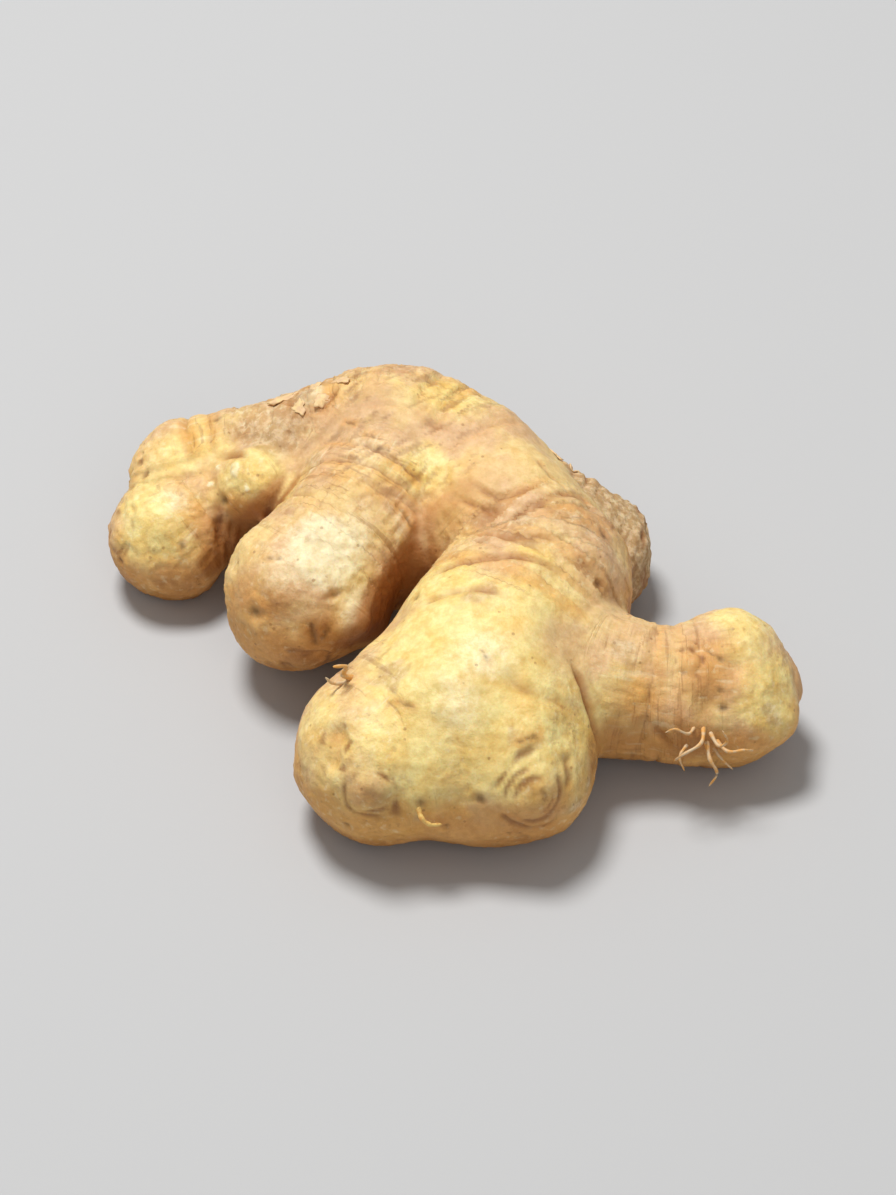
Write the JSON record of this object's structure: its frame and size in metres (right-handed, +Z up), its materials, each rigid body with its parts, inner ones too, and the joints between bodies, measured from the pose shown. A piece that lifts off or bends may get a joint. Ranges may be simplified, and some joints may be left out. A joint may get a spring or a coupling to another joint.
{
  "type": "ginger root",
  "caption": "Whole fresh ginger rhizome: blunt, knobbly fingers branching from a bent stem, lying on its side on small worn flats.",
  "frame": {"origin": "middle of the rhizome's footprint, on the plane that it rests on", "axes": "+Z up from the resting plane; +X along its longest way, from the end finger to the side finger; -Y towards the tip of the biggest finger"},
  "size_m": [0.1202, 0.0976, 0.0368],
  "materials": {
    "ginger_skin": "thin, slightly waxy ginger skin: pale yellow to buff, browner towards the ground, with ring scars and flaky dry patches; satin where young and matte where dry"
  },
  "bodies": {
    "root": {"rhizome": "ginger_skin"}
  },
  "joints": []
}
